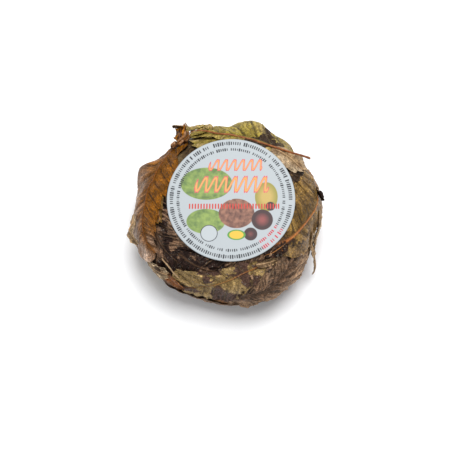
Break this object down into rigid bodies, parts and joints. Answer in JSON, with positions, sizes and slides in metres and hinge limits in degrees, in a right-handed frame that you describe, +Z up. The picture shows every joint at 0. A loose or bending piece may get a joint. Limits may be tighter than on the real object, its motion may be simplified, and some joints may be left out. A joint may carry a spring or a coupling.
{
  "type": "small cheese wheel wrapped in leaves",
  "caption": "Small round sheep's milk cheese wheel wrapped in dried, toothed chestnut leaves, with a flat round paper label on its leaning top.",
  "frame": {"origin": "centre of the flat base, on the surface that the cheese rests on", "axes": "+Z up, through the wheel; -Y is the front, from which the label is read; +X is to the right as seen from the front"},
  "size_m": [0.1212, 0.1163, 0.0579],
  "materials": {
    "wrap": "dull dark brown dried leaf, pressed flat",
    "paper": "smooth cool pale grey label paper with a print",
    "ochre": "orange-brown dried leaf with an oily shine",
    "olive": "yellow-green dried leaf, satin",
    "moss": "olive-brown dried leaf, satin",
    "bark": "dark brown mottled dried leaf, dull",
    "straw": "grey-tan dry leaf, dull",
    "rust": "rust-brown dried leaf, dull",
    "stalk": "reddish-brown dry leaf stalk, satin"
  },
  "bodies": {
    "root": {"cheese": "wrap", "label": "paper", "leaf_left": "ochre", "leaf_back": "olive", "leaf_right": "moss", "leaf_front": "moss", "leaf_left_dark": "bark", "leaf_front_dark": "bark", "leaf_right_dry": "straw", "leaf_rear": "moss", "leaf_side_left": "straw", "leaf_front_low": "bark", "leaf_right_low": "ochre", "knot_leaf": "ochre", "scrap_back_left": "olive", "scrap_front": "rust", "shred_front_left": "straw", "flap_front_left": "rust", "tip_left": "straw", "tip_right": "bark", "tip_hanging": "straw", "stalk_back": "stalk"}
  },
  "joints": []
}
